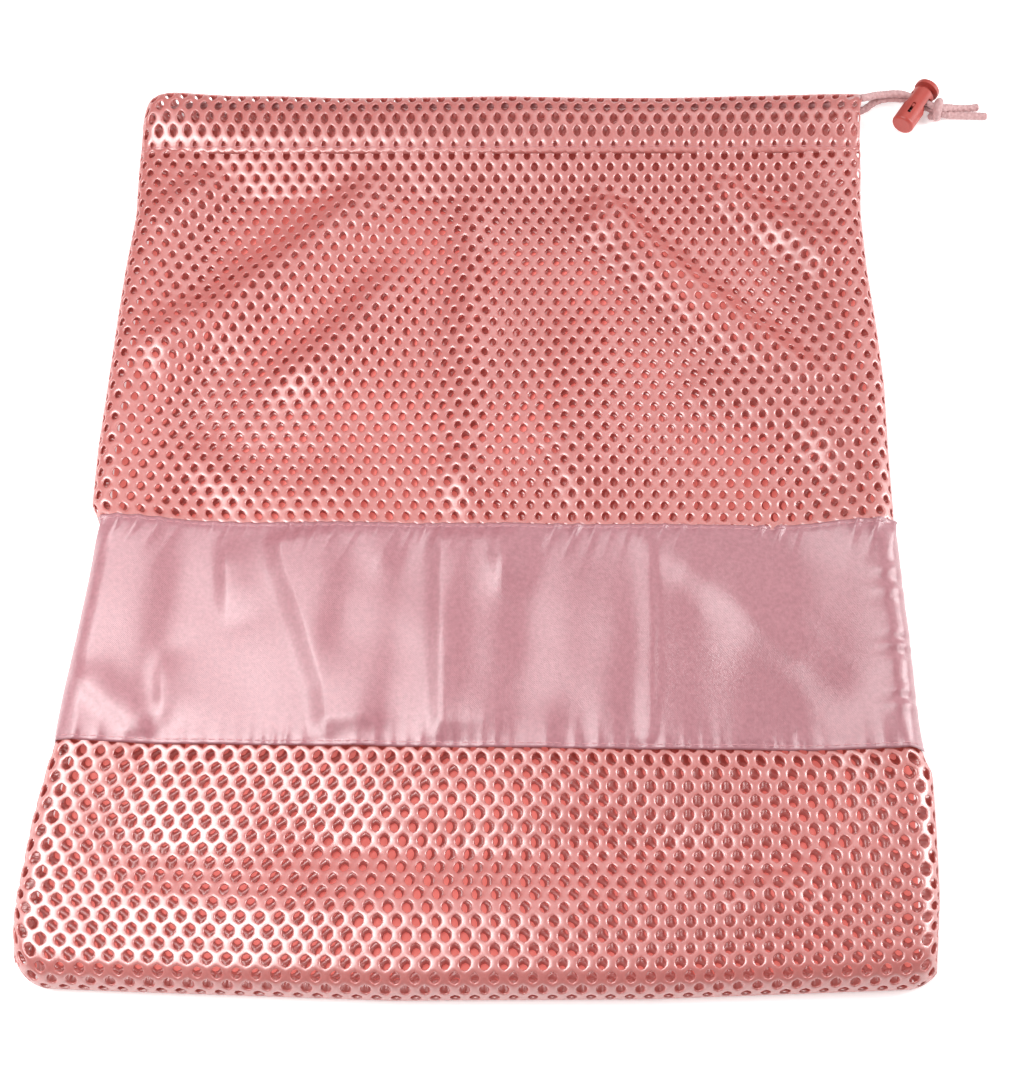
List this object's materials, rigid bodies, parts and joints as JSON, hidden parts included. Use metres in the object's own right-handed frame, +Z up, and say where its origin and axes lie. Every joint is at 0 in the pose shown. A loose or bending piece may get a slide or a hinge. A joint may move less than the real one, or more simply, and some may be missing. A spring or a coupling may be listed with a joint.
{
  "type": "mesh laundry bag",
  "caption": "Flat drawstring laundry bag of open knitted mesh with a satin band across its front and a sprung barrel cord lock on the drawcord; it holds delicate washing in a machine.",
  "frame": {"origin": "on the resting plane, under the middle of the lying bag", "axes": "+Z up, out of the bag's front; +Y towards the mouth and its casing; +X towards the side seam where the drawcord leaves"},
  "size_m": [0.3873, 0.4083, 0.0198],
  "materials": {
    "mesh": "coral pink knitted polyester mesh, soft sheen",
    "satin": "dusty rose polyester satin, glossy",
    "thread": "pink polyester sewing thread",
    "cord": "greyish pink braided polyester cord",
    "lock_plastic": "moulded coral red nylon",
    "spring_steel": "drawn spring wire"
  },
  "bodies": {
    "bag": {"front_panel": "mesh", "back_panel": "mesh", "satin_band": "satin", "front_casing": "mesh", "back_casing": "mesh", "left_side_seam": "mesh", "right_side_seam": "mesh", "bottom_seam": "mesh", "casing_stitching_front": "thread", "casing_stitching_back": "thread", "band_stitching_top": "thread", "band_stitching_bottom": "thread", "left_seam_stitching": "thread", "right_seam_stitching": "thread", "bottom_seam_stitching": "thread", "drawcord": "cord", "cord_end_front": "cord", "cord_end_back": "cord", "cord_knot": "cord", "cord_tail_front": "cord", "cord_tail_back": "cord"},
    "lock": {"lock_housing": "lock_plastic", "lock_spring": "spring_steel"},
    "plunger": {"lock_plunger": "lock_plastic"}
  },
  "joints": [
    {"name": "lock_slide", "type": "hinge", "parent": "bag", "child": "lock", "pos_m": [0.1795, 0.181, 0.0057], "axis": [0, 0, 1], "range_deg": [0, 28]},
    {"name": "plunger_press", "type": "slide", "parent": "lock", "child": "plunger", "axis": [-0.5446, -0.8387, 0], "range_m": [0, 0.0026], "stiffness_N_per_m": 800, "springref_m": -0.003, "deforming": ["lock_spring"]}
  ]
}
